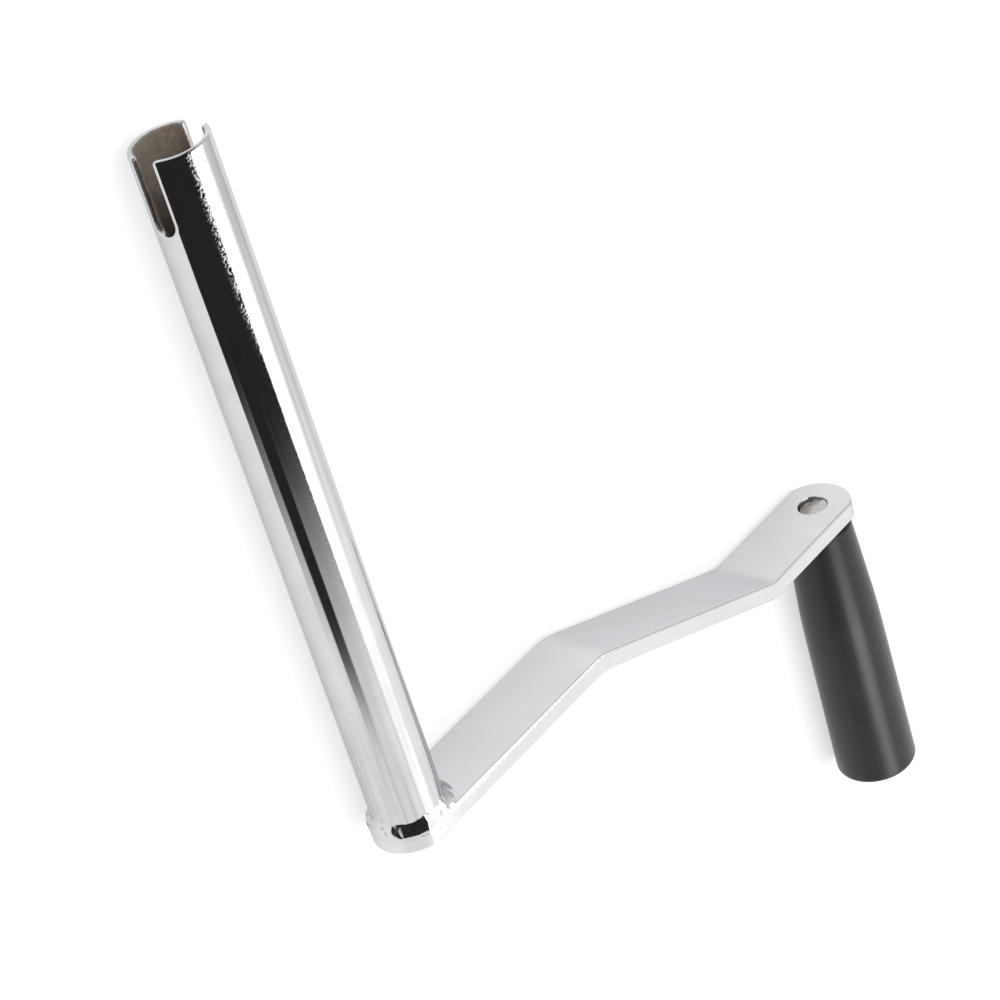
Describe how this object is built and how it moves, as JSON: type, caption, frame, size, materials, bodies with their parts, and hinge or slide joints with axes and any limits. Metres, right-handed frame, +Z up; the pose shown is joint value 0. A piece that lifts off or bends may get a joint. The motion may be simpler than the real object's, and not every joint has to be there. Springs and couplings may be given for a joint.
{
  "type": "trailer jack crank handle",
  "caption": "Crank handle for a tongue jack: slotted tube socket welded to an offset flat arm, with a spinning plastic grip.",
  "frame": {"origin": "under the middle of the handle as it lies on its side, level with the lowest line of the grip", "axes": "+Z up, across the arm's width; +Y along the drive tube, out of its slotted mouth; +X along the arm, from the drive tube to the grip"},
  "size_m": [0.2606, 0.4154, 0.0318],
  "materials": {
    "chrome_plate": "bright plating over steel tube, bar and weld, slightly wavy and scuffed",
    "bare_steel": "unplated brown-grey steel",
    "zinc_plate": "dull bright zinc",
    "black_plastic": "satin black moulding with faint lengthwise marks"
  },
  "bodies": {
    "crank": {"drive_tube": "chrome_plate", "crank_arm": "chrome_plate", "weld_bead": "chrome_plate", "grip_pin": "bare_steel", "arm_washer": "zinc_plate", "head_washer": "zinc_plate"},
    "grip": {"grip_sleeve": "black_plastic"}
  },
  "joints": [
    {"name": "grip_spin", "type": "hinge", "parent": "crank", "child": "grip", "pos_m": [0.11445, -0.14975, 0.0159], "axis": [0, -1, 0], "continuous": true}
  ]
}
